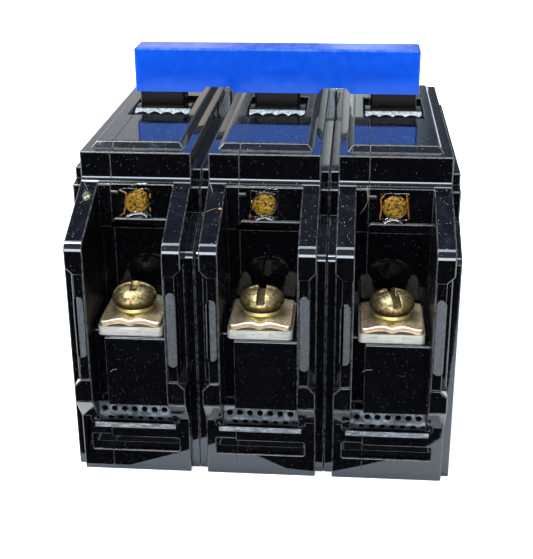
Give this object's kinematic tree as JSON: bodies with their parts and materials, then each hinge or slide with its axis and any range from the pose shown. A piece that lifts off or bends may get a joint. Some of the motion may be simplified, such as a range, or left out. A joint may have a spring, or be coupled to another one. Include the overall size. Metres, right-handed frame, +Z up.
{
  "type": "circuit breaker",
  "caption": "Box-shaped low-voltage switch with side-by-side poles, screw terminals in open compartments, a vented foot and linked toggle levers.",
  "frame": {"origin": "bottom centre of the outer box, on the base plane", "axes": "+X across the poles to the right seen from the load end, +Y from the load end to the line end, +Z up from the base towards the handles"},
  "size_m": [0.075, 0.094, 0.0771],
  "materials": {
    "phenolic_case": "glossy black moulded phenolic",
    "tinned_copper": "tin-plated, satin",
    "galvanised_sheet": "dull zinc-coated sheet",
    "bimetal_strip": "rolled strip",
    "plated_steel": "zinc-plated",
    "copper": "bare copper",
    "handle_plastic": "satin black moulded plastic",
    "blue_plastic": "satin blue moulded plastic",
    "yellow_zinc": "yellow-passivated zinc plating",
    "rivet_steel": "plated, rolled ends",
    "amber_resin": "clear amber sealing resin",
    "fibre": "moulded insulating bar"
  },
  "bodies": {
    "case": {"base_shell_1": "phenolic_case", "base_shell_2": "phenolic_case", "base_shell_3": "phenolic_case", "cover_shell_1": "phenolic_case", "cover_shell_2": "phenolic_case", "cover_shell_3": "phenolic_case", "load_strap_1": "tinned_copper", "load_strap_2": "tinned_copper", "load_strap_3": "tinned_copper", "line_strap_1": "tinned_copper", "line_strap_2": "tinned_copper", "line_strap_3": "tinned_copper", "vent_screen_1": "galvanised_sheet", "vent_screen_2": "galvanised_sheet", "vent_screen_3": "galvanised_sheet", "bimetal_1": "bimetal_strip", "bimetal_2": "bimetal_strip", "bimetal_3": "bimetal_strip", "magnet_yoke_1": "plated_steel", "magnet_yoke_2": "plated_steel", "magnet_yoke_3": "plated_steel", "arc_chute_1": "plated_steel", "arc_chute_2": "plated_steel", "arc_chute_3": "plated_steel", "flex_braid_1": "copper", "flex_braid_2": "copper", "flex_braid_3": "copper", "case_rivets": "rivet_steel", "calibration_screws": "plated_steel", "calibration_seals": "amber_resin", "mechanism_pins": "plated_steel"},
    "handle": {"handle_1": "handle_plastic", "handle_2": "handle_plastic", "handle_3": "handle_plastic", "handle_tie": "blue_plastic"},
    "contact_arm_1": {"contact_arm_1": "copper", "toggle_spring_1": "plated_steel"},
    "cradle_1": {"cradle_1": "plated_steel"},
    "latch_armature_1": {"latch_armature_1": "plated_steel"},
    "contact_arm_2": {"contact_arm_2": "copper", "toggle_spring_2": "plated_steel"},
    "cradle_2": {"cradle_2": "plated_steel"},
    "latch_armature_2": {"latch_armature_2": "plated_steel"},
    "contact_arm_3": {"contact_arm_3": "copper", "toggle_spring_3": "plated_steel"},
    "cradle_3": {"cradle_3": "plated_steel"},
    "latch_armature_3": {"latch_armature_3": "plated_steel"},
    "trip_bar": {"trip_bar": "fibre"},
    "load_clamp_1": {"load_clamp_1": "yellow_zinc"},
    "load_screw_1": {"load_screw_1": "yellow_zinc"},
    "load_clamp_2": {"load_clamp_2": "yellow_zinc"},
    "load_screw_2": {"load_screw_2": "yellow_zinc"},
    "load_clamp_3": {"load_clamp_3": "yellow_zinc"},
    "load_screw_3": {"load_screw_3": "yellow_zinc"},
    "line_clamp_1": {"line_clamp_1": "yellow_zinc"},
    "line_screw_1": {"line_screw_1": "yellow_zinc"},
    "line_clamp_2": {"line_clamp_2": "yellow_zinc"},
    "line_screw_2": {"line_screw_2": "yellow_zinc"},
    "line_clamp_3": {"line_clamp_3": "yellow_zinc"},
    "line_screw_3": {"line_screw_3": "yellow_zinc"}
  },
  "joints": [
    {"name": "handle_swing", "type": "hinge", "parent": "case", "child": "handle", "pos_m": [0, 0.0042, 0.052], "axis": [1, 0, 0], "range_deg": [-15, 25]},
    {"name": "contact_arm_1_swing", "type": "hinge", "parent": "handle", "child": "contact_arm_1", "pos_m": [-0.025, 0.0042, 0.044], "axis": [1, 0, 0], "range_deg": [-50, 30], "deforming": ["toggle_spring_1", "flex_braid_1"]},
    {"name": "cradle_1_swing", "type": "hinge", "parent": "case", "child": "cradle_1", "pos_m": [-0.025, 0.0165, 0.045], "axis": [1, 0, 0], "range_deg": [-12, 0]},
    {"name": "latch_armature_1_swing", "type": "hinge", "parent": "case", "child": "latch_armature_1", "pos_m": [-0.025, -0.0152, 0.0505], "axis": [1, 0, 0], "range_deg": [-4, 0]},
    {"name": "contact_arm_2_swing", "type": "hinge", "parent": "handle", "child": "contact_arm_2", "pos_m": [0, 0.0042, 0.044], "axis": [1, 0, 0], "range_deg": [-50, 30], "deforming": ["toggle_spring_2", "flex_braid_2"]},
    {"name": "cradle_2_swing", "type": "hinge", "parent": "case", "child": "cradle_2", "pos_m": [0, 0.0165, 0.045], "axis": [1, 0, 0], "range_deg": [-12, 0]},
    {"name": "latch_armature_2_swing", "type": "hinge", "parent": "case", "child": "latch_armature_2", "pos_m": [0, -0.0152, 0.0505], "axis": [1, 0, 0], "range_deg": [-4, 0]},
    {"name": "contact_arm_3_swing", "type": "hinge", "parent": "handle", "child": "contact_arm_3", "pos_m": [0.025, 0.0042, 0.044], "axis": [1, 0, 0], "range_deg": [-50, 30], "deforming": ["toggle_spring_3", "flex_braid_3"]},
    {"name": "cradle_3_swing", "type": "hinge", "parent": "case", "child": "cradle_3", "pos_m": [0.025, 0.0165, 0.045], "axis": [1, 0, 0], "range_deg": [-12, 0]},
    {"name": "latch_armature_3_swing", "type": "hinge", "parent": "case", "child": "latch_armature_3", "pos_m": [0.025, -0.0152, 0.0505], "axis": [1, 0, 0], "range_deg": [-4, 0]},
    {"name": "trip_bar_swing", "type": "hinge", "parent": "case", "child": "trip_bar", "pos_m": [0, -0.021, 0.0555], "axis": [1, 0, 0], "range_deg": [0, 5]},
    {"name": "load_clamp_1_lift", "type": "slide", "parent": "case", "child": "load_clamp_1", "axis": [0, 0, 1], "range_m": [0, 0.0024]},
    {"name": "load_screw_1_turn", "type": "hinge", "parent": "load_clamp_1", "child": "load_screw_1", "pos_m": [-0.025, -0.0374, 0.03475], "axis": [0, 0, 1], "range_deg": [0, 1080]},
    {"name": "load_clamp_2_lift", "type": "slide", "parent": "case", "child": "load_clamp_2", "axis": [0, 0, 1], "range_m": [0, 0.0024]},
    {"name": "load_screw_2_turn", "type": "hinge", "parent": "load_clamp_2", "child": "load_screw_2", "pos_m": [0, -0.0374, 0.03475], "axis": [0, 0, 1], "range_deg": [0, 1080]},
    {"name": "load_clamp_3_lift", "type": "slide", "parent": "case", "child": "load_clamp_3", "axis": [0, 0, 1], "range_m": [0, 0.0024]},
    {"name": "load_screw_3_turn", "type": "hinge", "parent": "load_clamp_3", "child": "load_screw_3", "pos_m": [0.025, -0.0374, 0.03475], "axis": [0, 0, 1], "range_deg": [0, 1080]},
    {"name": "line_clamp_1_lift", "type": "slide", "parent": "case", "child": "line_clamp_1", "axis": [0, 0, 1], "range_m": [0, 0.0024]},
    {"name": "line_screw_1_turn", "type": "hinge", "parent": "line_clamp_1", "child": "line_screw_1", "pos_m": [-0.025, 0.0374, 0.03475], "axis": [0, 0, 1], "range_deg": [0, 1080]},
    {"name": "line_clamp_2_lift", "type": "slide", "parent": "case", "child": "line_clamp_2", "axis": [0, 0, 1], "range_m": [0, 0.0024]},
    {"name": "line_screw_2_turn", "type": "hinge", "parent": "line_clamp_2", "child": "line_screw_2", "pos_m": [0, 0.0374, 0.03475], "axis": [0, 0, 1], "range_deg": [0, 1080]},
    {"name": "line_clamp_3_lift", "type": "slide", "parent": "case", "child": "line_clamp_3", "axis": [0, 0, 1], "range_m": [0, 0.0024]},
    {"name": "line_screw_3_turn", "type": "hinge", "parent": "line_clamp_3", "child": "line_screw_3", "pos_m": [0.025, 0.0374, 0.03475], "axis": [0, 0, 1], "range_deg": [0, 1080]}
  ],
  "couplings": [
    {"joint": "contact_arm_1_swing", "follows": "handle_swing", "ratio": -2},
    {"joint": "contact_arm_2_swing", "follows": "handle_swing", "ratio": -2},
    {"joint": "contact_arm_3_swing", "follows": "handle_swing", "ratio": -2},
    {"joint": "load_screw_1_turn", "follows": "load_clamp_1_lift", "rad_per_m": 7854},
    {"joint": "load_screw_2_turn", "follows": "load_clamp_2_lift", "rad_per_m": 7854},
    {"joint": "load_screw_3_turn", "follows": "load_clamp_3_lift", "rad_per_m": 7854},
    {"joint": "line_screw_1_turn", "follows": "line_clamp_1_lift", "rad_per_m": 7854},
    {"joint": "line_screw_2_turn", "follows": "line_clamp_2_lift", "rad_per_m": 7854},
    {"joint": "line_screw_3_turn", "follows": "line_clamp_3_lift", "rad_per_m": 7854}
  ]
}
